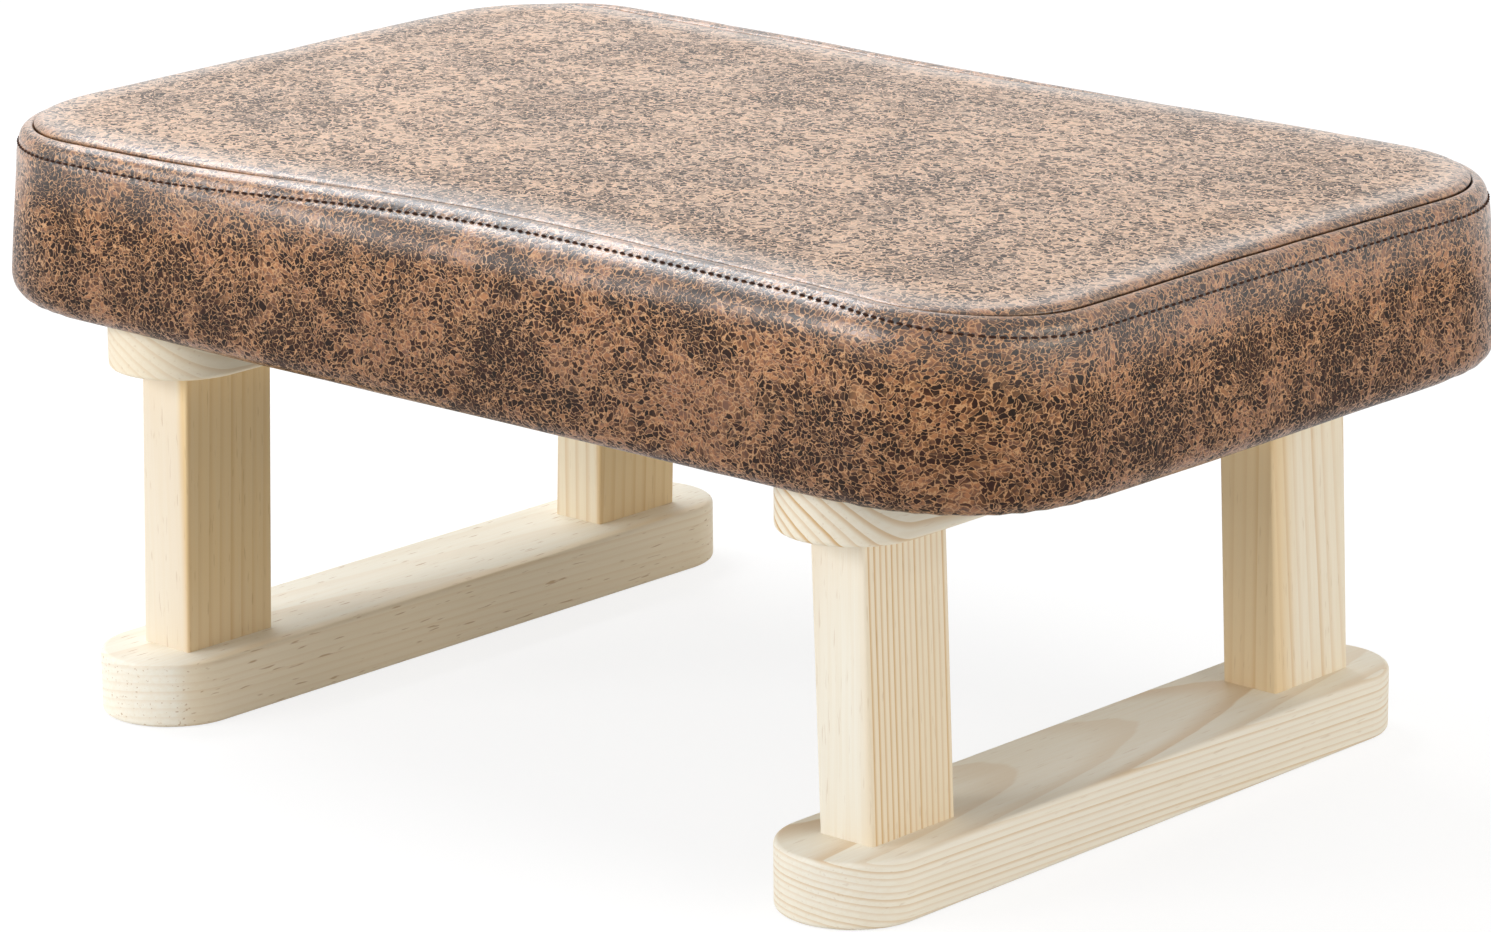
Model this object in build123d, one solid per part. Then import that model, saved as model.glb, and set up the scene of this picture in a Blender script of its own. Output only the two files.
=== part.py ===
from build123d import *
import os
from math import radians, tan

# Low footstool: a padded seat on two pine leg frames. All sizes are in millimetres.
# The origin is on the floor under the middle of the seat. X runs along the seat,
# Y from the front of the seat to its back, Z up.

# Seat outline and height
SEAT_LENGTH = 401.0
SEAT_DEPTH = 256.0
SEAT_CORNER_RADIUS = 50.0
SEAT_THICKNESS = 53.5
SIDE_DRAW_IN = 2.5
CROWN_RADIUS = 16000.0
TOP_EDGE_ROLL = 10.0
BOTTOM_EDGE_ROLL = 8.0

# Seat build-up
COVER_THICKNESS = 1.2
COVER_FIT = 0.2
SEAM_INSET = 5.0
HEM_REACH = 34.0
BOARD_THICKNESS = 12.0
FOAM_WRAP = 7.0
DUST_COVER_THICKNESS = 0.5
DUST_COVER_INSET = 13.0

# Leg frames
FRAME_SETBACK = 67.5
LEG_SPLAY_DEGREES = 2.0
RAIL_WIDTH = 43.0
FOOT_RAIL_SETBACK = 4.5
FOOT_RAIL_THICKNESS = 19.0
TOP_RAIL_SETBACK = 9.0
TOP_RAIL_THICKNESS = 16.0
RAIL_EDGE_ROUND = 1.4
POST_THICKNESS = 19.0
POST_WIDTH = 34.0
POST_HEIGHT = 85.5
POST_SETBACK = 40.0
POST_EDGE_ROUND = 0.9

# Screws and staples
SCREW_SHANK_DIAMETER = 4.2
SCREW_HEAD_DIAMETER = 8.4
SCREW_TIP_LENGTH = 4.0
SCREW_GRIP_IN_POST = 32.0
SCREW_GRIP_IN_BOARD = 8.5
SCREW_FIT = 0.1
SCREW_HEAD_SINK = 0.4
RECESS_WIDTH = 1.1
RECESS_SPAN = 4.6
RECESS_DEPTH = 2.0
SEAT_SCREW_FROM_POST = 46.0
STAPLE_WIRE = 0.6
STAPLE_WIDTH = 9.0
STAPLE_LEG = 7.0
HEM_STAPLE_INSET = 17.0
HEM_STAPLE_SPACING = 27.0
DUST_STAPLE_INSET = 26.0
DUST_STAPLE_SPACING = 46.0

# Levels from the floor up
POST_TOP = FOOT_RAIL_THICKNESS + POST_HEIGHT
RAIL_TOP = POST_TOP + TOP_RAIL_THICKNESS
SEAT_BOTTOM = RAIL_TOP + DUST_COVER_THICKNESS
SEAT_TOP = SEAT_BOTTOM + SEAT_THICKNESS
BOARD_BOTTOM = SEAT_BOTTOM + COVER_THICKNESS + COVER_FIT
BOARD_TOP = BOARD_BOTTOM + BOARD_THICKNESS

# Frame positions at the floor and under the seat, set back from the seat's edge
FOOT_X = SEAT_LENGTH / 2 - FRAME_SETBACK
TOP_X = FOOT_X - POST_HEIGHT * tan(radians(LEG_SPLAY_DEGREES))
POST_Y = SEAT_DEPTH / 2 - POST_SETBACK
FOOT_RAIL_LENGTH = SEAT_DEPTH - 2 * FOOT_RAIL_SETBACK
TOP_RAIL_LENGTH = SEAT_DEPTH - 2 * TOP_RAIL_SETBACK
SEAT_SCREW_Y = POST_Y - SEAT_SCREW_FROM_POST

SIDES = {"left": -1, "right": 1}
ENDS = {"front": -1, "back": 1}


def seat_outline(inset, level):
    """Rounded seat outline drawn in by inset, as a flat face at the given level."""
    return Pos(0, 0, level) * RectangleRounded(
        SEAT_LENGTH - 2 * inset,
        SEAT_DEPTH - 2 * inset,
        SEAT_CORNER_RADIUS - inset,
    )


def seat_block(inset, bottom, top):
    """Straight block with the seat outline drawn in by inset."""
    return extrude(seat_outline(inset, bottom), amount=top - bottom)


def cushion_form(inset):
    """Crowned, tapered and rolled seat shape, drawn in all round by inset."""
    lower = seat_outline(inset, SEAT_BOTTOM + inset)
    upper = seat_outline(inset + SIDE_DRAW_IN, SEAT_TOP + 1.0)
    sides = loft([lower.face(), upper.face()], ruled=True)
    crown = Pos(0, 0, SEAT_TOP - CROWN_RADIUS) * Sphere(CROWN_RADIUS - inset)
    form = (sides & crown).solid()
    top_edges = form.faces().sort_by(Axis.Z)[-1].edges()
    form = fillet(top_edges, TOP_EDGE_ROLL - inset).solid()
    bottom_edges = form.faces().sort_by(Axis.Z)[0].edges()
    return fillet(bottom_edges, BOTTOM_EDGE_ROLL - inset).solid()


def screw_outline(length, slack):
    """Turned solid of a countersunk screw, head face at Z 0, tip up along +Z."""
    head = SCREW_HEAD_DIAMETER / 2 + slack
    shank = SCREW_SHANK_DIAMETER / 2 + slack
    neck = head - shank
    reach = length + slack
    with BuildSketch(Plane.XZ) as half:
        with BuildLine():
            Polyline(
                (0, 0),
                (head, 0),
                (shank, neck),
                (shank, reach - SCREW_TIP_LENGTH),
                (0, reach),
                close=True,
            )
        make_face()
    return revolve(half.sketch, axis=Axis.Z).solid()


def wood_screw(length):
    """Countersunk screw with a crossed driver recess."""
    bar = Box(
        RECESS_SPAN,
        RECESS_WIDTH,
        RECESS_DEPTH,
        align=(Align.CENTER, Align.CENTER, Align.MIN),
    )
    return (screw_outline(length, 0) - bar - Rot(0, 0, 90) * bar).solid()


def screw_bore(length):
    """Room for one screw, with the sunk head's clear way out to the wood's face."""
    mouth = Cylinder(
        SCREW_HEAD_DIAMETER / 2 + SCREW_FIT,
        2 * SCREW_HEAD_SINK,
        align=(Align.CENTER, Align.CENTER, Align.MAX),
    )
    return screw_outline(length, SCREW_FIT) + mouth


def rail(length, thickness):
    """Flat rail along Y with full-round ends and eased edges, standing on Z 0."""
    blank = extrude(SlotOverall(length, RAIL_WIDTH, rotation=90), amount=thickness)
    flat_faces = blank.faces().filter_by(Axis.Z)
    return fillet(flat_faces.edges(), RAIL_EDGE_ROUND).solid()


def post(side, end):
    """Post between its rails, leaning in towards the seat by the leg splay."""
    foot = Pos(side * FOOT_X, end * POST_Y, FOOT_RAIL_THICKNESS)
    section = foot * RectangleRounded(POST_THICKNESS, POST_WIDTH, POST_EDGE_ROUND)
    lean = Vector(side * (TOP_X - FOOT_X), 0, POST_HEIGHT)
    return Solid.extrude(section.face(), lean)


def staple_row(inset, spacing, level, keep):
    """Staples round the seat, crowns at the given level, legs pointing up."""
    path = seat_outline(inset, level).face().outer_wire()
    count = round(path.length / spacing)
    with BuildSketch(Plane.XZ) as bent:
        Rectangle(STAPLE_WIDTH, STAPLE_LEG, align=(Align.CENTER, Align.MIN))
        with Locations((0, STAPLE_WIRE)):
            Rectangle(
                STAPLE_WIDTH - 2 * STAPLE_WIRE,
                STAPLE_LEG,
                align=(Align.CENTER, Align.MIN),
                mode=Mode.SUBTRACT,
            )
    wire = extrude(bent.sketch, amount=STAPLE_WIRE / 2, both=True).solid()
    row = []
    for step in range(count):
        place = path.position_at((step + 0.5) / count)
        along = path.tangent_at((step + 0.5) / count)
        if keep(place):
            row.append(Plane(place, x_dir=along, z_dir=(0, 0, 1)).location * wire)
    return row


def clear_of_rails(place):
    """True where a staple crown isn't under a top rail."""
    return abs(abs(place.X) - TOP_X) > (RAIL_WIDTH + STAPLE_WIDTH) / 2


def cut(solid, tools):
    """The solid with every tool taken out of it, as one solid."""
    return (solid - tools).solid()


# Screws: their lengths follow from what they pass through
foot_screw_length = FOOT_RAIL_THICKNESS + SCREW_GRIP_IN_POST
top_screw_length = TOP_RAIL_THICKNESS + SCREW_GRIP_IN_POST
seat_screw_length = BOARD_BOTTOM - POST_TOP + SCREW_GRIP_IN_BOARD
POINTING_DOWN = Rot(180, 0, 0)

foot_places = []
top_places = []
seat_places = []
for side in SIDES.values():
    for end in ENDS.values():
        foot_places.append(Pos(side * FOOT_X, end * POST_Y, SCREW_HEAD_SINK))
        top_place = Pos(side * TOP_X, end * POST_Y, RAIL_TOP - SCREW_HEAD_SINK)
        top_places.append(top_place * POINTING_DOWN)
        seat_places.append(Pos(side * TOP_X, end * SEAT_SCREW_Y, POST_TOP + SCREW_HEAD_SINK))

foot_bores = [place * screw_bore(foot_screw_length) for place in foot_places]
top_bores = [place * screw_bore(top_screw_length) for place in top_places]
seat_bores = [place * screw_bore(seat_screw_length) for place in seat_places]

nodes = {}
nodes["foot_screws"] = [place * wood_screw(foot_screw_length) for place in foot_places]
nodes["top_rail_screws"] = [place * wood_screw(top_screw_length) for place in top_places]
nodes["seat_screws"] = [place * wood_screw(seat_screw_length) for place in seat_places]

# Staples: the hem's lie flush in the cover, the dust cover's stand on its face
nodes["hem_staples"] = staple_row(HEM_STAPLE_INSET, HEM_STAPLE_SPACING, SEAT_BOTTOM, lambda place: True)
nodes["dust_cover_staples"] = staple_row(
    DUST_STAPLE_INSET, DUST_STAPLE_SPACING, RAIL_TOP - STAPLE_WIRE, clear_of_rails
)
staples = nodes["hem_staples"] + nodes["dust_cover_staples"]

# Seat board, with the foam over it and round its edge
board_inset = COVER_THICKNESS + COVER_FIT + FOAM_WRAP
board_blank = seat_block(board_inset, BOARD_BOTTOM, BOARD_TOP)
nodes["seat_board"] = cut(board_blank, seat_bores + staples)
nodes["seat_foam"] = cut(cushion_form(COVER_THICKNESS + COVER_FIT), [board_blank])

# Seat cover: one skin, split at the seam into top panel and side band
skin = cushion_form(0) - cushion_form(COVER_THICKNESS)
seam_inset = SIDE_DRAW_IN + SEAM_INSET
above_seam = seat_block(seam_inset, BOARD_TOP, SEAT_TOP + 1.0)
hem_opening = seat_block(HEM_REACH, SEAT_BOTTOM - 1.0, BOARD_BOTTOM + 1.0)
nodes["cover_top_panel"] = (skin & above_seam).solid()
nodes["cover_side_band"] = cut(skin, [above_seam, hem_opening] + staples)

# Dust cover under the seat
dust_blank = seat_block(DUST_COVER_INSET, RAIL_TOP, SEAT_BOTTOM)
nodes["dust_cover"] = cut(dust_blank, seat_bores + nodes["dust_cover_staples"])

# Leg frames
for side_name, side in SIDES.items():
    foot_rail = Pos(side * FOOT_X, 0, 0) * rail(FOOT_RAIL_LENGTH, FOOT_RAIL_THICKNESS)
    top_rail = Pos(side * TOP_X, 0, POST_TOP) * rail(TOP_RAIL_LENGTH, TOP_RAIL_THICKNESS)
    nodes[side_name + "_foot_rail"] = cut(foot_rail, foot_bores)
    nodes[side_name + "_top_rail"] = cut(top_rail, top_bores + seat_bores)
    for end_name, end in ENDS.items():
        nodes[side_name + "_" + end_name + "_post"] = cut(post(side, end), foot_bores + top_bores)

os.makedirs("parts", exist_ok=True)
for name, pieces in nodes.items():
    shape = Compound(children=pieces) if isinstance(pieces, list) else pieces
    export_step(shape, os.path.join("parts", name + ".step"))
    print(name, shape.bounding_box())
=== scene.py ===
import bpy
from collections import namedtuple
from math import cos, exp, hypot, pi, radians, sin
from mathutils import Matrix, Vector, noise
from mathutils.kdtree import KDTree


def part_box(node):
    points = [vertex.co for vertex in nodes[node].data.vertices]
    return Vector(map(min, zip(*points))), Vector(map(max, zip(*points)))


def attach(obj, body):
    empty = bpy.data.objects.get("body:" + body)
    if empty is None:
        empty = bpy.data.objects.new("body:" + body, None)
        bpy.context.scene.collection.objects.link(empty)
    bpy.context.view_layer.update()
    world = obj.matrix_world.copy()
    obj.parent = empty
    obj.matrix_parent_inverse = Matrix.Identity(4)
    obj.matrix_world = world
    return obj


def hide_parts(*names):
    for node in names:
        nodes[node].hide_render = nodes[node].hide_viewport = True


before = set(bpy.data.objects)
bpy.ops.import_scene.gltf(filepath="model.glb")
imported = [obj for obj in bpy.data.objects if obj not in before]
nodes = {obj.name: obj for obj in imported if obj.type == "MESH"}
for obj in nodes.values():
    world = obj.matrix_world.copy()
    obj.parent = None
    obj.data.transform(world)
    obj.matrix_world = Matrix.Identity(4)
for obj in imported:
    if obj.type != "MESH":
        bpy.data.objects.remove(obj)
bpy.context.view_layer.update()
scene = bpy.context.scene
scene.view_settings.view_transform = "Standard"


def measured(length):
    """A length read from the solids, to a tenth of a millimetre."""
    return round(length, 4)


# Seat, in metres. Its outline, top and bottom and the top rails are read from the solids.
DUST_LOW, DUST_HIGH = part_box("dust_cover")
RAIL_LOW, RAIL_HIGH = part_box("right_top_rail")
DUST_COVER_INSET = 0.013
SEAT_LENGTH = measured(DUST_HIGH.x - DUST_LOW.x + 2 * DUST_COVER_INSET)
SEAT_DEPTH = measured(DUST_HIGH.y - DUST_LOW.y + 2 * DUST_COVER_INSET)
SEAT_BOTTOM = measured(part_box("cover_side_band")[0].z)
SEAT_TOP = measured(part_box("cover_top_panel")[1].z)
RAIL_PLACE = measured((RAIL_LOW.x + RAIL_HIGH.x) / 2)
RAIL_HALF = measured((RAIL_HIGH.x - RAIL_LOW.x) / 2)
CORNER_RADIUS = 0.050
CROWN_RADIUS = 16.0
DRAW_IN = 0.0025
MIDDLE_PULL = 0.0010
TOP_ROLL = 0.010
BOTTOM_ROLL = 0.008
HEM_REACH = 0.034
HALF_X = SEAT_LENGTH / 2 - CORNER_RADIUS
HALF_Y = SEAT_DEPTH / 2 - CORNER_RADIUS
PERIMETER = 4 * (HALF_X + HALF_Y) + 2 * pi * CORNER_RADIUS

# Fullness: the long sides roll wider and bow in at the seam. The bow starts, rises, falls and ends
# in shares of the side. The rim hangs below the board, and hangs less far in at the top rails.
PUFF_LIMIT = 0.0018
SWAY_DEPTH = 0.0003
WALL_TILT = radians(4)
LONG_SIDE_ROLL = 0.0045
LONG_SIDE_BOW = 0.0087
BOW_START = 0.08
BOW_RISE = 0.54
BOW_FALL = 0.35
BOW_END = 1.25
RIM_SAG = 0.0022
SAG_END = 0.015
RAIL_BLEND = 0.012
SAG_START_SHIFT = 0.003
SAG_END_SHIFT = 0.0063

# Sewing: the seam sits on the roll, the topstitch runs beside it on the band. Both draw the cover
# in, and it swells between them: depth, width.
SEWING_MAP = "sewing"
SEAM_ANGLE = radians(60)
STITCH_OFFSET = 0.0075
STITCH_PITCH = 0.0030
STITCH_LENGTH = 0.0020
THREAD_RADIUS = 0.00034
THREAD_RISE = 0.00035
THREAD_SINK = 0.00012
THREAD_STEPS = 6
THREAD_SIDES = 6
THREAD_TAPER = 0.72
SEAM_DENT = (0.0005, 0.0020)
STITCH_DENT = (0.0004, 0.0014)
SEAM_SWELL = (0.0004, 0.0026)
PLEAT_WIDTH = 0.0082
PLEAT_DEPTH = 0.0005

# Rows of the cover's mesh. Both pieces turn down into the seam: distance from it, depth.
TURNED_IN = ((0.0001, 0.0026), (0.00016, 0.0013), (0.0003, 0.0004), (0.0006, 0.00006))
SEAM_ROWS = [distance for distance, depth in TURNED_IN] + [0.001, 0.0018, 0.0028, 0.0042]
TOP_ROWS = SEAM_ROWS + [0.006, 0.0085]
TOP_STEPS = 10
BAND_ROWS = SEAM_ROWS + [0.0056, 0.0064, 0.007, 0.0075, 0.008, 0.0086, 0.0096, 0.011]
BAND_STEPS = 14
BOTTOM_STEPS = 6
HEM_ROWS = (0.0088, 0.010, 0.0115, 0.013, 0.015, 0.019, 0.024, HEM_REACH)
COVER_STEP = 0.0036
PUFF_STEP = 0.0062
STITCH_STEP = 0.0012
CLOTH_STEP = 0.005

# Places on the sewing map away from the seam
PANEL_MIDDLE = -0.05
UNDER_THE_SEAT = 0.1

# Camera at the photograph's viewing angle. Width and focal length are in the photograph's pixels.
PHOTO_WIDTH = 1491
FOCAL_LENGTH = 6390.8
SENSOR_WIDTH = 36
CAMERA_PLACE = (1.2013, -1.3219, 0.5815)
CAMERA_YAW = radians(42.2)
CAMERA_PITCH = radians(15.8)
CAMERA_ROLL = radians(-0.5)

# Lamps: place, what they aim at, width and height, watts, colour
SEAT_MIDDLE = (0, 0, 0.15)
LEGS_MIDDLE = (0, 0, 0.1)
LAMPS = {
    "key": ((-1.08, 0.17, 1.28), SEAT_MIDDLE, (1.2, 0.34), 12.5, (0.93, 0.965, 1.0)),
    "front": ((-0.85, -1.6, 0.8), LEGS_MIDDLE, (1.0, 0.7), 15.5, (1, 1, 1)),
    "back": ((-1.5, 1.65, 0.85), SEAT_MIDDLE, (2.0, 1.2), 3, (1, 1, 1)),
    "right": ((1.4, 0.12, 0.5), LEGS_MIDDLE, (0.9, 0.6), 5.4, (1.0, 0.92, 0.8)),
}
SKY_LIGHT = 0.58
FLOOR_HALF = 6.0
FLOOR_LEVEL = -0.0002

# Boards: the grain's axis, the heart of the rings across it, the width of a ring, how dark the
# rings are, how far the grain leans, how warm the whole board is (partly its own colour, partly
# painted warmth of shade), and where the wood turns to a deeper tan (partly heartwood, partly
# painted shade on the board's shaded face)
BOARDS = {
    "right_foot_rail": dict(
        along="Y", heart=(0.127, -0.10), ring=0.0019, contrast=0.55, tilt=0.03, warmth_and_shade=0.0, seed=1.0,
    ),
    "left_foot_rail": dict(
        along="Y", heart=(-0.12, -0.13), ring=0.0026, contrast=0.22, tilt=0.02, warmth_and_shade=0.0, seed=2.3,
        flecks=0.6, heartwood_and_shade=("X", -0.118, -0.1135, 0.3),
    ),
    "right_top_rail": dict(
        along="Y", heart=(0.10, 0.06), ring=0.0030, contrast=1.0, tilt=0.06, warmth_and_shade=0.1, seed=3.1,
    ),
    "left_top_rail": dict(
        along="Y", heart=(-0.16, 0.05), ring=0.0030, contrast=0.40, tilt=0.04, warmth_and_shade=0.25, seed=4.7,
    ),
    "right_front_post": dict(
        along="Z", heart=(0.14, 0.08), ring=0.0024, contrast=0.82, tilt=0.01, warmth_and_shade=0.0, seed=5.9,
        heartwood_and_shade=("X", 0.137, 0.142, 0.3),
    ),
    "right_back_post": dict(
        along="Z", heart=(0.0, 0.21), ring=0.0030, contrast=0.45, tilt=-0.01, warmth_and_shade=0.15, seed=6.4,
        heartwood_and_shade=("Y", 0.084, 0.072, 0.55),
    ),
    "left_front_post": dict(
        along="Z", heart=(-0.14, 0.10), ring=0.0044, contrast=0.50, tilt=0.01, warmth_and_shade=0.0, seed=7.2,
        flecks=0.3, heartwood_and_shade=("X", -0.126, -0.1225, 0.75),
    ),
    "left_back_post": dict(
        along="Z", heart=(-0.07, 0.02), ring=0.0036, contrast=0.55, tilt=-0.01, warmth_and_shade=0.25, seed=8.8,
        heartwood_and_shade=("X", -0.126, -0.1225, 0.7),
    ),
}


def add_camera():
    back = Vector((
        sin(CAMERA_YAW) * cos(CAMERA_PITCH), -cos(CAMERA_YAW) * cos(CAMERA_PITCH), sin(CAMERA_PITCH),
    ))
    right = Vector((cos(CAMERA_YAW), sin(CAMERA_YAW), 0))
    up = back.cross(right)
    turned_right = right * cos(CAMERA_ROLL) + up * sin(CAMERA_ROLL)
    turned_up = up * cos(CAMERA_ROLL) - right * sin(CAMERA_ROLL)
    data = bpy.data.cameras.new("camera")
    data.sensor_fit = "HORIZONTAL"
    data.sensor_width = SENSOR_WIDTH
    data.lens = SENSOR_WIDTH * FOCAL_LENGTH / PHOTO_WIDTH
    data.clip_end = 50
    camera = bpy.data.objects.new("camera", data)
    place = Matrix((turned_right, turned_up, back)).transposed().to_4x4()
    place.translation = Vector(CAMERA_PLACE)
    camera.matrix_world = place
    scene.collection.objects.link(camera)
    scene.camera = camera


# Materials
class Nodes:
    """A node tree, emptied and then built one call per node."""

    def __init__(self, tree):
        self.tree = tree
        self.tree.nodes.clear()

    def put(self, socket, value):
        if isinstance(value, bpy.types.NodeSocket):
            self.tree.links.new(value, socket)
        elif value is not None:
            socket.default_value = value

    def node(self, kind, inputs=(), **settings):
        made = self.tree.nodes.new(kind)
        for name, value in settings.items():
            setattr(made, name, value)
        for key, value in dict(inputs).items():
            self.put(made.inputs[key], value)
        return made

    def math(self, operation, *values):
        made = self.node("ShaderNodeMath", operation=operation)
        for socket, value in zip(made.inputs, values):
            self.put(socket, value)
        return made.outputs[0]

    def times(self, a, b):
        return self.math("MULTIPLY", a, b)

    def times_plus(self, a, b, c):
        return self.math("MULTIPLY_ADD", a, b, c)

    def vector(self, operation, a, b):
        return self.node("ShaderNodeVectorMath", {0: a, 1: b}, operation=operation).outputs["Vector"]

    def scaled(self, vector, scale):
        values = {0: vector, "Scale": scale}
        return self.node("ShaderNodeVectorMath", values, operation="SCALE").outputs["Vector"]

    def split(self, vector):
        return self.node("ShaderNodeSeparateXYZ", {"Vector": vector}).outputs

    def place(self):
        return self.node("ShaderNodeTexCoord").outputs["Object"]

    def noise(self, place, scale, detail=2.0, rough=0.5, output="Fac"):
        values = {"Vector": place, "Scale": scale, "Detail": detail, "Roughness": rough}
        return self.node("ShaderNodeTexNoise", values).outputs[output]

    def wobble(self, place, scale):
        """A noisy vector whose parts lie around zero."""
        return self.vector("SUBTRACT", self.noise(place, scale, output="Color"), (0.5, 0.5, 0.5))

    def voronoi(self, place, scale, feature, output):
        values = {"Vector": place, "Scale": scale}
        return self.node("ShaderNodeTexVoronoi", values, feature=feature).outputs[output]

    def span(self, value, low, high, to_low=0.0, to_high=1.0, smooth=True):
        """Turns the stretch from low to high into the stretch from to_low to to_high."""
        values = {"Value": value, 1: low, 2: high, 3: to_low, 4: to_high}
        kind = "SMOOTHSTEP" if smooth else "LINEAR"
        return self.node("ShaderNodeMapRange", values, interpolation_type=kind).outputs[0]

    def mix(self, factor, a, b):
        return self.node("ShaderNodeMix", {0: factor, 6: a, 7: b}, data_type="RGBA").outputs[2]

    def bump(self, height, distance, strength, normal=None):
        values = {"Height": height, "Distance": distance, "Strength": strength, "Normal": normal}
        return self.node("ShaderNodeBump", values).outputs[0]

    def seen_directly(self):
        """1 where the camera, a mirror or glass shows this, 0 where it only gives light."""
        ray = self.node("ShaderNodeLightPath").outputs
        shown = self.math("MAXIMUM", ray["Is Camera Ray"], ray["Is Glossy Ray"])
        return self.math("MAXIMUM", shown, ray["Is Transmission Ray"])


class Shader(Nodes):
    """A material's node tree."""

    def __init__(self, name):
        self.material = bpy.data.materials.new(name)
        self.material.use_nodes = True
        super().__init__(self.material.node_tree)
        self.output = self.node("ShaderNodeOutputMaterial")

    def finish(self, **values):
        """Ends in the standard surface. Its inputs are named with _ for a space."""
        named = {key.replace("_", " "): value for key, value in values.items()}
        self.show(self.node("ShaderNodeBsdfPrincipled", named).outputs[0])
        return self.material

    def show(self, surface):
        self.tree.links.new(surface, self.output.inputs["Surface"])


def srgb(red, green, blue):
    """A colour as a screen shows it, turned into the values that light works with."""
    def linear(part):
        part /= 255
        return part / 12.92 if part <= 0.04045 else ((part + 0.055) / 1.055) ** 2.4
    return (linear(red), linear(green), linear(blue), 1)


# The cells of the leather: places for coarse and fine patterns, distance from a cell's edge, each
# cell's own random colour, and a fine grain
Skin = namedtuple("Skin", "warped cracked edge chance grain")


def cracked_skin(s, place, drift):
    """Small uneven cells, longer along the seat than up its side."""
    cells_per_metre = 760
    stretch = (0.74, 0.85, 1.0)
    warped = s.vector("ADD", place, s.scaled(drift, 0.008))
    cracked = s.vector("ADD", warped, s.scaled(s.wobble(place, 380), 0.0024))
    cracked = s.vector("MULTIPLY", cracked, stretch)
    edge = s.voronoi(cracked, cells_per_metre, "DISTANCE_TO_EDGE", "Distance")
    colour = s.voronoi(cracked, cells_per_metre, "F1", "Color")
    chance = s.node("ShaderNodeSeparateColor", {"Color": colour}).outputs
    return Skin(warped, cracked, edge, chance, s.noise(cracked, 820, 3, 0.7))


def wear(s, place, skin, panel):
    """How worn the leather is, in patches. The top panel is worn more evenly."""
    even_wear = 0.37
    clouds = s.span(s.noise(place, 24, 3, 0.55), 0.34, 0.68)
    clusters = s.span(s.noise(skin.warped, 80, 3, 0.6), 0.34, 0.68)
    worn = s.times_plus(clusters, 0.5, s.times(clouds, 0.5))
    return s.times_plus(s.math("SUBTRACT", even_wear, worn), s.times(panel, 0.6), worn)


def dark_pores(s, skin, worn):
    """Some of the cells are dark pores. They are more and larger where the leather is worn."""
    dark = s.span(s.times_plus(skin.chance["Red"], -0.75, worn), -0.52, 0.20)
    rim = s.span(worn, 0.0, 1.0, 0.06, -0.02, smooth=False)
    ragged = s.times_plus(s.math("SUBTRACT", skin.grain, 0.5), 0.40, skin.edge)
    return s.times(dark, s.span(s.math("SUBTRACT", ragged, rim), -0.02, 0.09))


def long_creases(s, place, drift):
    """A few long fine creases, in patches."""
    bent = s.vector("ADD", place, s.scaled(drift, 0.02))
    line = s.span(s.voronoi(bent, 30, "DISTANCE_TO_EDGE", "Distance"), 0.0, 0.03, 1.0, 0.0)
    return s.times(line, s.span(s.noise(place, 18), 0.50, 0.62))


def skin_tone(s, place, skin, worn, crease, panel, across):
    """Tan with a fine nap and a paler web; painted light makes the top panel paler, and painted
    shade darkens the foot of the side.
    """
    tone = s.mix(worn, srgb(162, 101, 55), srgb(212, 147, 87))
    faded = s.span(s.noise(place, 30, 3, 0.6), 0.3, 0.7, 0.0, 0.3)
    tone = s.mix(faded, tone, srgb(176, 124, 80))
    nap = s.span(s.noise(skin.cracked, 1000, 1, 0.5), 0.40, 0.62, 0.0, 0.8)
    tone = s.mix(nap, tone, srgb(92, 51, 29))
    web = s.span(skin.edge, 0.01, 0.08, 0.75, 0.0)
    tone = s.mix(web, tone, srgb(210, 162, 113))
    tone = s.mix(s.times(crease, 0.30), tone, srgb(192, 145, 98))
    # Painted light: the top panel is painted paler, for the sheen and light it gets.
    tone = s.mix(s.times(panel, 0.62), tone, srgb(233, 190, 151))
    # Painted shade: the side band darkens towards its foot.
    painted_low_shade = s.span(across, 0.022, 0.050, 0.0, 0.3)
    return s.mix(painted_low_shade, tone, srgb(70, 38, 20))


def sewn_tone(s, tone, place, across, from_row, wave):
    """Paler along the seam, partly rubbed and partly a painted highlight on its lip, with painted shade
    in the seam's crease and in a needle hole between stitches. The painted crease shade is strongest
    at the right end."""
    from_seam = s.math("ABSOLUTE", across)
    patches = s.span(s.noise(place, 160, 3, 0.6), 0.35, 0.65)
    # Paler along the seam: partly rubbed wear, partly a painted highlight on the seam's lip.
    rubbed_and_lip_highlight = s.times(s.span(from_seam, 0.0008, 0.0024, 0.35, 0.0), patches)
    tone = s.mix(rubbed_and_lip_highlight, tone, srgb(192, 147, 106))
    # Painted shade in the seam's crease, stronger towards the right end.
    seam_shade_strength = s.span(s.split(place)["X"], 0.06, 0.14, 0.25, 0.85)
    painted_seam_shade = s.span(from_seam, 0.0002, 0.0006, 1.0, 0.0)
    tone = s.mix(s.times(painted_seam_shade, seam_shade_strength), tone, srgb(30, 16, 12))
    # Painted shade of a needle hole between stitches.
    painted_hole_shade = s.times(s.span(wave, 0.35, 0.75), s.span(from_row, 0.0003, 0.0007, 1.0, 0.0))
    return s.mix(painted_hole_shade, tone, srgb(22, 14, 12))


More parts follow.
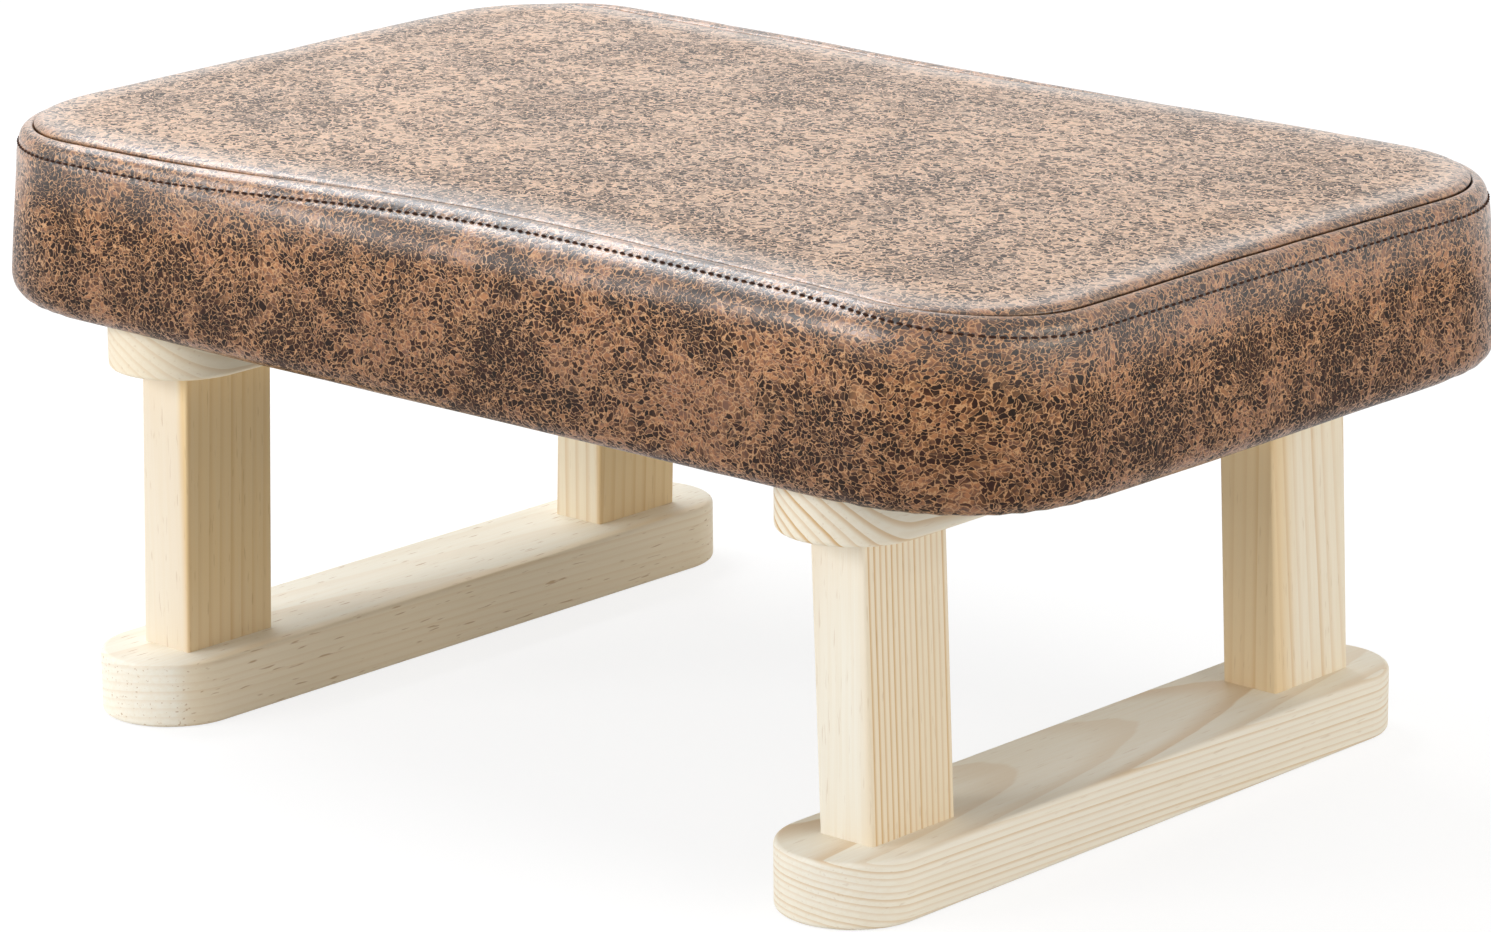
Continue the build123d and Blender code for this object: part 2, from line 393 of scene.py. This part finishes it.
def leather():
    """Distressed brown: dark pores in a tan web, thick in patches, polished along the seam."""
    s = Shader("distressed_leather")
    place = s.place()
    sewing = s.split(s.node("ShaderNodeUVMap", uv_map=SEWING_MAP).outputs[0])
    along = sewing["X"]
    across = sewing["Y"]
    from_row = s.math("ABSOLUTE", s.math("SUBTRACT", across, STITCH_OFFSET))
    wave = s.math("COSINE", s.times(along, 2 * pi / STITCH_PITCH))

    panel = s.span(across, -0.008, -0.001, 1.0, 0.0)
    drift = s.wobble(place, 60)
    skin = cracked_skin(s, place, drift)
    worn = wear(s, place, skin, panel)
    pores = dark_pores(s, skin, worn)
    crease = long_creases(s, place, drift)
    tone = skin_tone(s, place, skin, worn, crease, panel, across)
    pit = s.mix(skin.chance["Blue"], srgb(12, 5, 3), srgb(46, 21, 13))
    tone = s.mix(s.times(pores, 0.97), tone, pit)
    tone = sewn_tone(s, tone, place, across, from_row, wave)

    height = s.times_plus(pores, -0.45, s.span(skin.edge, 0.0, 0.16, 0.0, 0.5))
    height = s.times_plus(skin.grain, 0.5, height)
    height = s.times_plus(crease, -0.4, height)
    pucker = s.times(s.span(from_row, 0.0, 0.0016, 1.0, 0.0), s.times(wave, -0.5))
    normal = s.bump(pucker, 0.0004, 0.5, s.bump(height, 0.00018, 0.38))

    gloss = s.times_plus(s.noise(place, 60, 3, 0.6), 0.14, 0.24)
    gloss = s.times_plus(pores, 0.05, gloss)
    shine = s.times_plus(pores, -0.34, 0.38)
    from_polished_edge = s.math("ABSOLUTE", s.math("SUBTRACT", across, 0.003))
    polish = s.span(from_polished_edge, 0.005, 0.022, 0.85, 0.14)
    return s.finish(
        Base_Color=tone, Roughness=gloss, Normal=normal, Specular_IOR_Level=shine,
        Coat_Weight=polish, Coat_Roughness=0.34, Coat_IOR=1.8, Coat_Normal=normal,
    )


def pine(name, along, heart, ring, contrast, tilt, warmth_and_shade, seed, flecks=0.2, heartwood_and_shade=None):
    """Pale pine. Rings are centred on heart, across the grain, and run along one axis. Warmth gives
    the whole board a deeper tan, partly its own colour and partly painted warmth of shade. The last
    argument names an axis, the stretch of it over which the wood turns from pale to tan, and how
    far; that tan is partly heartwood and partly painted shade on the board's shaded face."""
    s = Shader(name)
    place = s.place()
    axis = "XYZ".index(along)
    first, second = [k for k in range(3) if k != axis]
    shifted = s.vector("ADD", place, (seed, seed * 0.7, seed * 1.3))

    def streaks(across, lengthwise, detail, rough):
        scale = [across] * 3
        scale[axis] = lengthwise
        return s.noise(s.vector("MULTIPLY", shifted, scale), 1.0, detail, rough)

    lean = [0.0, 0.0, 0.0]
    lean[first] = tilt
    leaning = s.split(s.node("ShaderNodeMapping", {"Vector": place, "Rotation": lean}).outputs[0])
    one = s.math("SUBTRACT", leaning[first], heart[0])
    other = s.math("SUBTRACT", leaning[second], heart[1])
    reach = s.math("SQRT", s.times_plus(one, one, s.times(other, other)))
    reach = s.times_plus(streaks(9.0, 2.2, 2, 0.45), 0.008, reach)
    reach = s.times_plus(streaks(120.0, 14.0, 2, 0.5), 0.0005, reach)
    rings = s.math("DIVIDE", reach, ring)
    phase = s.math("FRACT", rings)
    year = s.node("ShaderNodeTexWhiteNoise", {"W": s.math("FLOOR", rings)}, noise_dimensions="1D")
    late = s.times(s.span(phase, 0.42, 0.92), s.span(phase, 0.94, 1.0, 1.0, 0.0))
    late = s.times(late, s.span(year.outputs["Value"], 0.0, 1.0, 0.4, 1.0, smooth=False))
    fibre = streaks(900.0, 22.0, 3, 0.6)
    fleck = s.span(streaks(1100.0, 120.0, 1, 0.5), 0.66, 0.76)

    tone = s.mix(streaks(20.0, 5.0, 2, 0.5), srgb(248, 244, 233), srgb(245, 236, 215))
    # A warm tan over the whole board: partly its own colour, partly painted warmth of shade.
    tone = s.mix(warmth_and_shade, tone, srgb(232, 200, 140))
    # A deeper tan across one face: partly heartwood, partly painted shade on the board's shaded face.
    if heartwood_and_shade:
        side, start, end, strength = heartwood_and_shade
        turned = s.span(s.split(place)[side], start, end, 0.0, strength)
        tone = s.mix(turned, tone, srgb(226, 188, 118))
    tone = s.mix(s.times(late, contrast), tone, srgb(206, 162, 96))
    tone = s.mix(s.span(fibre, 0.35, 0.75, 0.0, 0.2), tone, srgb(228, 208, 172))
    tone = s.mix(s.times(fleck, flecks), tone, srgb(176, 134, 82))
    height = s.times_plus(late, -0.5, s.times(fibre, 0.6))
    gloss = s.times_plus(late, -0.10, 0.62)
    return s.finish(
        Base_Color=tone, Roughness=gloss, Normal=s.bump(height, 0.0001, 0.35),
        Specular_IOR_Level=0.4,
    )


def plywood():
    """Thin veneers, light and dark in turn, seen on the board's edge."""
    veneer = 0.0016
    s = Shader("birch_plywood")
    place = s.place()
    ply = s.math("PINGPONG", s.split(place)["Z"], veneer)
    tone = s.mix(s.span(ply, 0.0006, 0.0010), srgb(196, 158, 112), srgb(222, 190, 146))
    fibre = s.noise(s.vector("MULTIPLY", place, (12, 500, 500)), 1.0, 3, 0.6)
    tone = s.mix(s.span(fibre, 0.35, 0.7, 0.0, 0.35), tone, srgb(160, 118, 76))
    return s.finish(Base_Color=tone, Roughness=0.75, Normal=s.bump(fibre, 0.0002, 0.4))


def lining():
    """Black spunbond cloth with its pressed dots."""
    s = Shader("black_spunbond")
    place = s.place()
    fibre = s.noise(s.vector("MULTIPLY", place, (900, 500, 500)), 1.0, 4, 0.7)
    dots = s.span(s.voronoi(place, 900, "F1", "Distance"), 0.18, 0.32)
    tone = s.mix(fibre, srgb(28, 28, 30), srgb(58, 58, 61))
    tone = s.mix(s.times(dots, 0.35), srgb(22, 22, 24), tone)
    height = s.times_plus(dots, 0.6, s.times(fibre, 0.5))
    return s.finish(
        Base_Color=tone, Roughness=0.86, Normal=s.bump(height, 0.0002, 0.6),
        Sheen_Weight=0.2, Sheen_Roughness=0.5,
    )


def plated(name, light, dark, rough):
    """Plated steel with fine scuffs."""
    s = Shader(name)
    place = s.place()
    scuffs = s.noise(s.vector("MULTIPLY", place, (700, 2400, 700)), 1.0, 3, 0.6)
    tone = s.mix(s.noise(place, 260), light, dark)
    gloss = s.span(scuffs, 0.3, 0.7, rough - 0.08, rough + 0.12, smooth=False)
    return s.finish(
        Base_Color=tone, Roughness=gloss, Metallic=1.0, Normal=s.bump(scuffs, 0.00005, 0.3),
    )


def thread():
    """Twisted dark brown thread."""
    s = Shader("brown_thread")
    ply = s.noise(s.place(), 2600, 2, 0.6)
    tone = s.mix(ply, srgb(44, 27, 21), srgb(74, 47, 36))
    return s.finish(
        Base_Color=tone, Roughness=0.7, Normal=s.bump(ply, 0.0001, 0.6), Specular_IOR_Level=0.15,
    )


# Shape of the seat cover
def limited(value):
    return min(max(value, 0.0), 1.0)


def eased(value):
    """From 0 to 1 with a soft start and a soft end."""
    value = limited(value)
    return value * value * (3 - 2 * value)


def between(start, end, share):
    return start + (end - start) * share


# One column of the cover: a point on the inner rectangle, the way out from it, how near it is to
# the middle of its side, what it lies on, the way round the seat so far, and the sewn edge's bow
Column = namedtuple("Column", "x y out_x out_y middle kind along bow")
SHORT_SIDE, LONG_SIDE, CORNER = range(3)


def edge_bow(t):
    """How far the sewn edge bows in along a long side. It keeps on into the corner beyond t = 1."""
    return LONG_SIDE_BOW * eased((t - BOW_START) / BOW_RISE) * eased((BOW_END - t) / BOW_FALL)


def round_the_seat(step):
    """Columns going round the seat, about a step apart."""
    columns = []
    corners = [(HALF_X, HALF_Y), (-HALF_X, HALF_Y), (-HALF_X, -HALF_Y), (HALF_X, -HALF_Y)]
    arc_length = CORNER_RADIUS * pi / 2
    arc = round(arc_length / step)
    travelled = 0.0
    for turn in range(4):
        start = corners[turn - 1]
        end = corners[turn]
        run = hypot(end[0] - start[0], end[1] - start[1])
        count = round(run / step)
        facing = turn * pi / 2
        kind = turn % 2
        bowed = 1 if kind == LONG_SIDE else 0
        for k in range(count):
            t = k / count
            columns.append(Column(
                between(start[0], end[0], t), between(start[1], end[1], t), cos(facing), sin(facing),
                sin(pi * t) ** 2, kind, travelled + run * t, edge_bow(t) * bowed,
            ))
        travelled += run
        for k in range(arc):
            angle = facing + pi / 2 * k / arc
            swing = arc_length * k / arc
            columns.append(Column(
                end[0], end[1], cos(angle), sin(angle),
                0.0, CORNER, travelled + swing, edge_bow(1 + swing / run) * bowed,
            ))
        travelled += arc_length
    return columns


def crown_height(x, y):
    return SEAT_TOP - (x * x + y * y) / (2 * CROWN_RADIUS)


def roll_and_pull(column):
    """The top roll's radius at a column, and how far the middle of the side is pulled in."""
    long_side = column.middle if column.kind == LONG_SIDE else 0.0
    return TOP_ROLL + LONG_SIDE_ROLL * long_side, MIDDLE_PULL * column.middle


def edge_height(column):
    roll, pull = roll_and_pull(column)
    reach = CORNER_RADIUS - DRAW_IN - pull - roll
    return crown_height(column.x + column.out_x * reach, column.y + column.out_y * reach)


def rim_sag(column, inset):
    """How far the rim hangs below the board at an inset. It ends ahead of the top rails' ends."""
    beside = abs(abs(column.x + column.out_x * (CORNER_RADIUS - inset)) - RAIL_PLACE) - RAIL_HALF
    at_rail = 0.0 if column.kind == SHORT_SIDE else 1 - limited(beside / RAIL_BLEND)
    start = BOTTOM_ROLL - SAG_START_SHIFT * at_rail
    end = SAG_END - SAG_END_SHIFT * at_rail
    return RIM_SAG * eased((end - inset) / (end - start))


def reaches(column):
    """How far the cover runs from the seam: in to the inner rectangle, and down the side."""
    roll, pull = roll_and_pull(column)
    inward = CORNER_RADIUS - DRAW_IN - pull - roll + roll * (pi / 2 - SEAM_ANGLE) - column.bow
    down = roll * SEAM_ANGLE + column.bow + edge_height(column) - roll
    return inward, down - SEAT_BOTTOM - BOTTOM_ROLL + RIM_SAG


def cover_point(column, v=None, turn=None, hem=None):
    """A point on the cover and the way out of it. The way from the seam along the cover is v,
    turn goes from 0 to 1 round the bottom edge, hem is the distance in under the seat."""
    def spot(inset, height, tilt):
        reach = CORNER_RADIUS - inset
        place = Vector((column.x + column.out_x * reach, column.y + column.out_y * reach, height))
        return place, Vector((column.out_x * cos(tilt), column.out_y * cos(tilt), sin(tilt)))

    if hem is not None:
        return spot(hem, SEAT_BOTTOM - rim_sag(column, hem), -pi / 2)
    if turn is not None:
        angle = -turn * pi / 2
        inset = BOTTOM_ROLL * (1 - cos(angle))
        height = SEAT_BOTTOM + BOTTOM_ROLL * (1 + sin(angle)) - rim_sag(column, inset)
        return spot(inset, height, angle)
    roll, pull = roll_and_pull(column)
    top_inset = DRAW_IN + pull
    wall_bottom = SEAT_BOTTOM + BOTTOM_ROLL - RIM_SAG
    wall_top = edge_height(column) - roll
    angle = SEAM_ANGLE - (v - column.bow) / roll
    if angle < 0:
        low = -angle * roll / (wall_top - wall_bottom)
        return spot(top_inset * (1 - low), between(wall_top, wall_bottom, low), WALL_TILT)
    if angle <= pi / 2:
        return spot(top_inset + roll * (1 - cos(angle)), wall_top + roll * sin(angle), angle)
    inset = min(top_inset + roll + roll * (angle - pi / 2), CORNER_RADIUS)
    reach = CORNER_RADIUS - inset
    height = crown_height(column.x + column.out_x * reach, column.y + column.out_y * reach)
    return spot(inset, height, pi / 2)


def mesh_object(name, points, faces, material=None, smooth=True):
    mesh = bpy.data.meshes.new(name)
    mesh.from_pydata(points, [], faces)
    mesh.polygons.foreach_set("use_smooth", [smooth] * len(faces))
    if material:
        mesh.materials.append(material)
    mesh.update()
    made = bpy.data.objects.new(name, mesh)
    scene.collection.objects.link(made)
    return made


def fill_top(columns, rows, points, faces):
    """Adds rings from the seam in to the inner rectangle, then a grid that fills it."""
    count = len(columns)
    inner = {}
    rings = []
    for row in rows:
        rings.append([len(points) + k for k in range(count)])
        points.extend(row)
    last = []
    for column in columns:
        key = (round(column.x, 6), round(column.y, 6))
        if key not in inner:
            inner[key] = len(points)
            points.append((column.x, column.y, crown_height(column.x, column.y)))
        last.append(inner[key])
    rings.append(last)
    for outer, inside in zip(rings, rings[1:]):
        for k in range(count):
            n = (k + 1) % count
            if inside[k] == inside[n]:
                faces.append((outer[k], outer[n], inside[k]))
            else:
                faces.append((outer[k], outer[n], inside[n], inside[k]))
    xs = sorted({key[0] for key in inner})
    ys = sorted({key[1] for key in inner})
    for x in xs:
        for y in ys:
            if (x, y) not in inner:
                inner[(x, y)] = len(points)
                points.append((x, y, crown_height(x, y)))
    for i in range(len(xs) - 1):
        for j in range(len(ys) - 1):
            corners = [(i, j), (i + 1, j), (i + 1, j + 1), (i, j + 1)]
            faces.append(tuple(inner[(xs[a], ys[b])] for a, b in corners))


# Fullness of the cover
PUFF_TOP_ROWS = 7
PUFF_SIDE_ROWS = 10
PUFF_TURNS = (1 / 3, 2 / 3, 1)
PUFF_HEMS = (0.014, 0.020)
PUFF_HELD_FROM = PUFF_SIDE_ROWS + 1
PUFF_SHRINK = 0.0014
PUFF_FRAMES = 20
SEAM_HOLD = 0.35
CLOTH = {
    "quality": 6,
    "mass": 0.3,
    "tension_stiffness": 18,
    "compression_stiffness": 18,
    "shear_stiffness": 8,
    "bending_stiffness": 3,
    "use_pressure": True,
    "uniform_pressure_force": 3,
    "vertex_group_mass": "held",
    "pin_stiffness": 1.0,
}


def puff_form():
    """A coarse cover: its points, its faces, the points of the seam and those held under the seat."""
    columns = round_the_seat(PUFF_STEP)
    count = len(columns)
    points = []
    faces = []
    held = []
    inward, down = zip(*(reaches(c) for c in columns))
    rows = []
    for k in range(PUFF_TOP_ROWS):
        rows.append([cover_point(c, v=-reach * k / PUFF_TOP_ROWS)[0] for c, reach in zip(columns, inward)])
    fill_top(columns, rows, points, faces)
    sides = []
    for k in range(1, PUFF_SIDE_ROWS + 1):
        sides.append([cover_point(c, v=reach * k / PUFF_SIDE_ROWS)[0] for c, reach in zip(columns, down)])
    sides += [[cover_point(c, turn=turn)[0] for c in columns] for turn in PUFF_TURNS]
    sides += [[cover_point(c, hem=hem)[0] for c in columns] for hem in PUFF_HEMS]
    seam = range(count)
    above = seam
    for k, row in enumerate(sides):
        ring = range(len(points), len(points) + count)
        points.extend(row)
        for n in range(count):
            after = (n + 1) % count
            faces.append((above[n], ring[n], ring[after], above[after]))
        if k >= PUFF_HELD_FROM:
            held.extend(ring)
        above = ring
    return [Vector(p) for p in points], faces, seam, held


def blown_up(rest, faces, seam, held):
    """Shrinks the coarse cover, blows it up as cloth and gives each point's move."""
    pad = mesh_object("seat_puff", rest, faces)
    normals = [vertex.normal.copy() for vertex in pad.data.vertices]
    fixed = set(held)
    for k, vertex in enumerate(pad.data.vertices):
        if k not in fixed:
            vertex.co = rest[k] - normals[k] * PUFF_SHRINK
    group = pad.vertex_groups.new(name=CLOTH["vertex_group_mass"])
    group.add(held, 1.0, "REPLACE")
    group.add(seam, SEAM_HOLD, "ADD")
    cloth = pad.modifiers.new("cloth", "CLOTH")
    for name, value in CLOTH.items():
        setattr(cloth.settings, name, value)
    cloth.settings.effector_weights.gravity = 0
    cloth.collision_settings.use_collision = False
    cloth.point_cache.frame_start = 1
    cloth.point_cache.frame_end = PUFF_FRAMES
    for step in range(1, PUFF_FRAMES + 1):
        scene.frame_set(step)
    blown = pad.evaluated_get(bpy.context.evaluated_depsgraph_get()).data
    moves = [vertex.co - place for vertex, place in zip(blown.vertices, rest)]
    scene.frame_set(1)
    bpy.data.objects.remove(pad)
    return moves


def puffed_shift():
    """Blows the cover up as cloth over the foam. Gives a function of how far each place moves."""
    rest, faces, seam, held = puff_form()
    moves = blown_up(rest, faces, seam, held)
    calm = min(1.0, PUFF_LIMIT / max(move.length for move in moves))
    tree = KDTree(len(rest))
    for k, place in enumerate(rest):
        tree.insert(place, k)
    tree.balance()

    def shift(place):
        neighbours = 8
        softness = 4e-6
        total = Vector((0, 0, 0))
        weight = 0.0
        for spot, k, distance in tree.find_n(place, neighbours):
            share = 1 / (distance * distance + softness)
            total += moves[k] * share
            weight += share
        return total * (calm / weight)

    return shift


def sway(place):
    """Slow unevenness of the padding: broad waves, and finer ones half as deep."""
    broad = noise.noise(place * 16 + Vector((3.1, 7.7, 1.9)))
    fine = noise.noise(place * 38 + Vector((9.2, 0.4, 5.5)))
    return SWAY_DEPTH * (broad + 0.5 * fine)


def hump(distance, depth, width):
    return depth * exp(-((distance / width) ** 2))


def dented(column, shift, depth=0.0, **station):
    """A cover point after puffing, drawn in at the seam and the topstitch, with pleats at the
    bottom of the corners."""
    place, out = cover_point(column, **station)
    sink = depth - sway(place)
    v = station.get("v")
    if v is not None:
        sink += hump(v, *SEAM_DENT)
        sink += hump(v - STITCH_OFFSET, *STITCH_DENT)
        sink -= hump(v - 0.5 * STITCH_OFFSET, *SEAM_SWELL)
    elif column.kind == CORNER:
        grip = station.get("turn", 1.0)
        sink += PLEAT_DEPTH * grip * (1 + sin(column.along * 2 * pi / PLEAT_WIDTH))
    return place + shift(place) - out * sink


# Pieces of the seat cover
def sew(made, places):
    """Gives each point its place on the sewing map: the way round the seat and across the seam."""
    layer = made.data.uv_layers.new(name=SEWING_MAP)
    for loop in made.data.loops:
        layer.data[loop.index].uv = places[loop.vertex_index]


def soften(made):
    soft = made.modifiers.new("soft", "SUBSURF")
    soft.levels = 1
    soft.render_levels = 1


def seam_distance(row, near, reach, steps):
    """How far a row lies from the seam: the near rows first, then even steps out to the reach."""
    if row < len(near):
        return near[row]
    return between(near[-1], reach, (row - len(near) + 1) / steps)


def seam_depth(row):
    return TURNED_IN[row][1] if row < len(TURNED_IN) else 0.0


def cover_top(shift, material):
    """Top panel, turned down into the seam."""
    columns = round_the_seat(COVER_STEP)
    rows = []
    places = []
    for r in range(len(TOP_ROWS) + TOP_STEPS - 1):
        row = []
        for column in columns:
            v = -seam_distance(r, TOP_ROWS, reaches(column)[0], TOP_STEPS)
            row.append(dented(column, shift, seam_depth(r), v=v))
            places.append((column.along, v))
        rows.append(row)
    points = []
    faces = []
    fill_top(columns, rows, points, faces)
    for k in range(len(places), len(points)):
        place = Vector(points[k])
        points[k] = place + shift(place) + Vector((0, 0, sway(place)))
        places.append((0.0, PANEL_MIDDLE))
    made = mesh_object("cover_top", points, faces, material)
    sew(made, places)
    soften(made)
    return made


def cover_band(shift, material):
    """Side band: out of the seam, down the side, round the bottom edge and in to the hem. The
    first column comes again at the end, for the sewing map, and is welded to itself."""
    columns = round_the_seat(COVER_STEP)
    count = len(columns)
    stations = [("v", row) for row in range(len(BAND_ROWS) + BAND_STEPS)]
    stations += [("turn", (k + 1) / BOTTOM_STEPS) for k in range(BOTTOM_STEPS)]
    stations += [("hem", inset) for inset in HEM_ROWS]
    points = []
    places = []
    for kind, value in stations:
        for column in columns + columns[:1]:
            where = value
            depth = 0.0
            across = UNDER_THE_SEAT
            if kind == "v":
                where = seam_distance(value, BAND_ROWS, reaches(column)[1], BAND_STEPS)
                depth = seam_depth(value)
                across = where
            points.append(dented(column, shift, depth, **{kind: where}))
            again = len(points) % (count + 1) == 0
            places.append((PERIMETER if again else column.along, across))
    faces = []
    wide = count + 1
    for r in range(len(stations) - 1):
        for k in range(count):
            a = r * wide + k
            faces.append((a, a + wide, a + wide + 1, a + 1))
    made = mesh_object("cover_band", points, faces, material)
    sew(made, places)
    weld = made.modifiers.new("weld", "WELD")
    weld.merge_threshold = 0.00001
    soften(made)
    return made


def stitch_point(columns, spot, shift):
    """A point on the stitch line, the way out of the cover there and the way along the line."""
    column = columns[int(spot) % len(columns)]
    after = columns[(int(spot) + 1) % len(columns)]
    start = dented(column, shift, v=STITCH_OFFSET)
    end = dented(after, shift, v=STITCH_OFFSET)
    out = cover_point(column, v=STITCH_OFFSET)[1]
    return start.lerp(end, spot - int(spot)), out, (end - start).normalized()


def tube_faces(base, steps, sides):
    """Faces of a closed tube whose points start at base, ring by ring."""
    faces = []
    for step in range(steps):
        for k in range(sides):
            n = (k + 1) % sides
            a = base + step * sides
            faces.append((a + k, a + n, a + sides + n, a + sides + k))
    faces.append(tuple(base + k for k in reversed(range(sides))))
    faces.append(tuple(base + steps * sides + k for k in range(sides)))
    return faces


def topstitch(shift, material):
    """One short length of thread per stitch, its ends sunk in the leather."""
    columns = round_the_seat(STITCH_STEP)
    count = round(PERIMETER / STITCH_PITCH)
    points = []
    faces = []
    for stitch in range(count):
        faces += tube_faces(len(points), THREAD_STEPS, THREAD_SIDES)
        for step in range(THREAD_STEPS + 1):
            t = step / THREAD_STEPS - 0.5
            along = (stitch + 0.5 + t * STITCH_LENGTH / STITCH_PITCH) / count
            here, out, forward = stitch_point(columns, along * len(columns), shift)
            across = out.cross(forward).normalized()
            arch = 1 - (2 * t) ** 2
            centre = here + out * (THREAD_RISE * arch - THREAD_SINK)
            thick = THREAD_RADIUS * between(THREAD_TAPER, 1.0, arch)
            for k in range(THREAD_SIDES):
                angle = 2 * pi * k / THREAD_SIDES
                points.append(centre + (out * sin(angle) + across * cos(angle)) * thick)
    return mesh_object("topstitch", points, faces, material)


# Dust cover: rows in from its edge, its scallops between staples, and its slack
CLOTH_ROWS = (0.0, 0.0012, 0.005, 0.010, 0.016, 0.024, 0.032)
CLOTH_THICKNESS = 0.0004
STAPLE_SPACING = 0.046
SCALLOP_DEPTH = 0.0006
SCALLOP_REACH = 0.004
SLACK_DEPTH = 0.0012
SLACK_BLEND = 0.03
HELD_EDGE = 0.028
HELD_BESIDE_RAIL = 0.0045


def slack_at(x, y):
    """How far the cloth hangs: nothing at the staples and rails, uneven in the middle."""
    slack = 0.5 + 0.5 * noise.noise(Vector((x * 22, y * 22, 4.2)))
    slack += 0.35 * noise.noise(Vector((x * 70, y * 45, 8.8)))
    free = limited((SEAT_DEPTH / 2 - HELD_EDGE - abs(y)) / SLACK_BLEND)
    free *= limited((RAIL_PLACE - RAIL_HALF - HELD_BESIDE_RAIL - abs(x)) / SLACK_BLEND)
    return SLACK_DEPTH * slack * free


def dust_cloth(material):
    """Thin cloth stretched under the seat, a little slack between its staples."""
    columns = round_the_seat(CLOTH_STEP)
    rows = []
    for depth in CLOTH_ROWS:
        row = []
        for column in columns:
            reach = CORNER_RADIUS - DUST_COVER_INSET - depth
            if depth < SCALLOP_REACH:
                reach += SCALLOP_DEPTH * sin(column.along * 2 * pi / STAPLE_SPACING)
            row.append((column.x + column.out_x * reach, column.y + column.out_y * reach, 0))
        rows.append(row)
    points = []
    faces = []
    fill_top(columns, rows, points, faces)
    level = (DUST_LOW.z + DUST_HIGH.z) / 2
    hung = [(x, y, level - slack_at(x, y)) for x, y, z in points]
    facing_down = [tuple(reversed(face)) for face in faces]
    made = mesh_object("dust_cloth", hung, facing_down, material)
    thick = made.modifiers.new("thick", "SOLIDIFY")
    thick.thickness = CLOTH_THICKNESS
    thick.offset = 0
    return made


# The whole object
def put_on(node, material):
    for slot in nodes[node].material_slots:
        slot.material = material


def dress_seat():
    skin = leather()
    shift = puffed_shift()
    top = cover_top(shift, skin)
    band = cover_band(shift, skin)
    stitches = topstitch(shift, thread())
    cloth = dust_cloth(lining())
    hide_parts("cover_top_panel", "seat_foam")
    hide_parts("cover_side_band")
    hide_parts("dust_cover")
    for piece, slot in ((top, "leather"), (band, "leather"), (stitches, "leather"), (cloth, "lining")):
        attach(piece, "root")


def dress_solids():
    for node, look in BOARDS.items():
        board = node.removesuffix("_rail").removesuffix("_post")
        put_on(node, pine("pine_" + board, **look))
    put_on("seat_board", plywood())
    screw = plated("yellow_zinc", srgb(214, 196, 140), srgb(196, 184, 150), 0.34)
    for node in ("foot_screws", "top_rail_screws", "seat_screws"):
        put_on(node, screw)
    staple = plated("galvanised_wire", srgb(205, 205, 205), srgb(170, 172, 176), 0.38)
    for node in ("hem_staples", "dust_cover_staples"):
        put_on(node, staple)


# Floor and light
def add_floor():
    """White floor. Seen directly it glows, so that it is as white as the photograph's ground."""
    s = Shader("floor")
    tone = s.mix(s.noise(s.place(), 30), (0.78, 0.78, 0.78, 1), (0.81, 0.81, 0.81, 1))
    matt = s.node("ShaderNodeBsdfDiffuse", {"Color": tone}).outputs[0]
    shade = s.node("ShaderNodeBsdfDiffuse", {"Color": (0.26, 0.26, 0.26, 1)}).outputs[0]
    glow = s.node("ShaderNodeEmission", {"Strength": 0.80}).outputs[0]
    shown = s.node("ShaderNodeAddShader", {0: shade, 1: glow}).outputs[0]
    s.show(s.node("ShaderNodeMixShader", {0: s.seen_directly(), 1: matt, 2: shown}).outputs[0])
    around = [(-1, -1), (1, -1), (1, 1), (-1, 1)]
    corners = [(x * FLOOR_HALF, y * FLOOR_HALF, FLOOR_LEVEL) for x, y in around]
    floor = mesh_object("floor", corners, [(0, 1, 2, 3)], s.material, smooth=False)


def add_lamp(name, place, aim, size, power, colour):
    data = bpy.data.lights.new(name, "AREA")
    data.shape = "RECTANGLE"
    data.size = size[0]
    data.size_y = size[1]
    data.energy = power
    data.color = colour
    lamp = bpy.data.objects.new(name, data)
    lamp.location = place
    look = Vector(aim) - Vector(place)
    lamp.rotation_euler = look.to_track_quat("-Z", "Y").to_euler()
    scene.collection.objects.link(lamp)


def add_world():
    """White all round. It lights the scene less than it shows."""
    world = bpy.data.worlds.new("studio")
    world.use_nodes = True
    s = Nodes(world.node_tree)
    level = s.span(s.seen_directly(), 0.0, 1.0, SKY_LIGHT, 1.0, smooth=False)
    sky = s.node("ShaderNodeBackground", {"Color": (1, 1, 1, 1), "Strength": level})
    s.node("ShaderNodeOutputWorld", {"Surface": sky.outputs[0]})
    scene.world = world


add_camera()
dress_seat()
dress_solids()
add_floor()
add_world()
for name, lamp in LAMPS.items():
    add_lamp(name, *lamp)
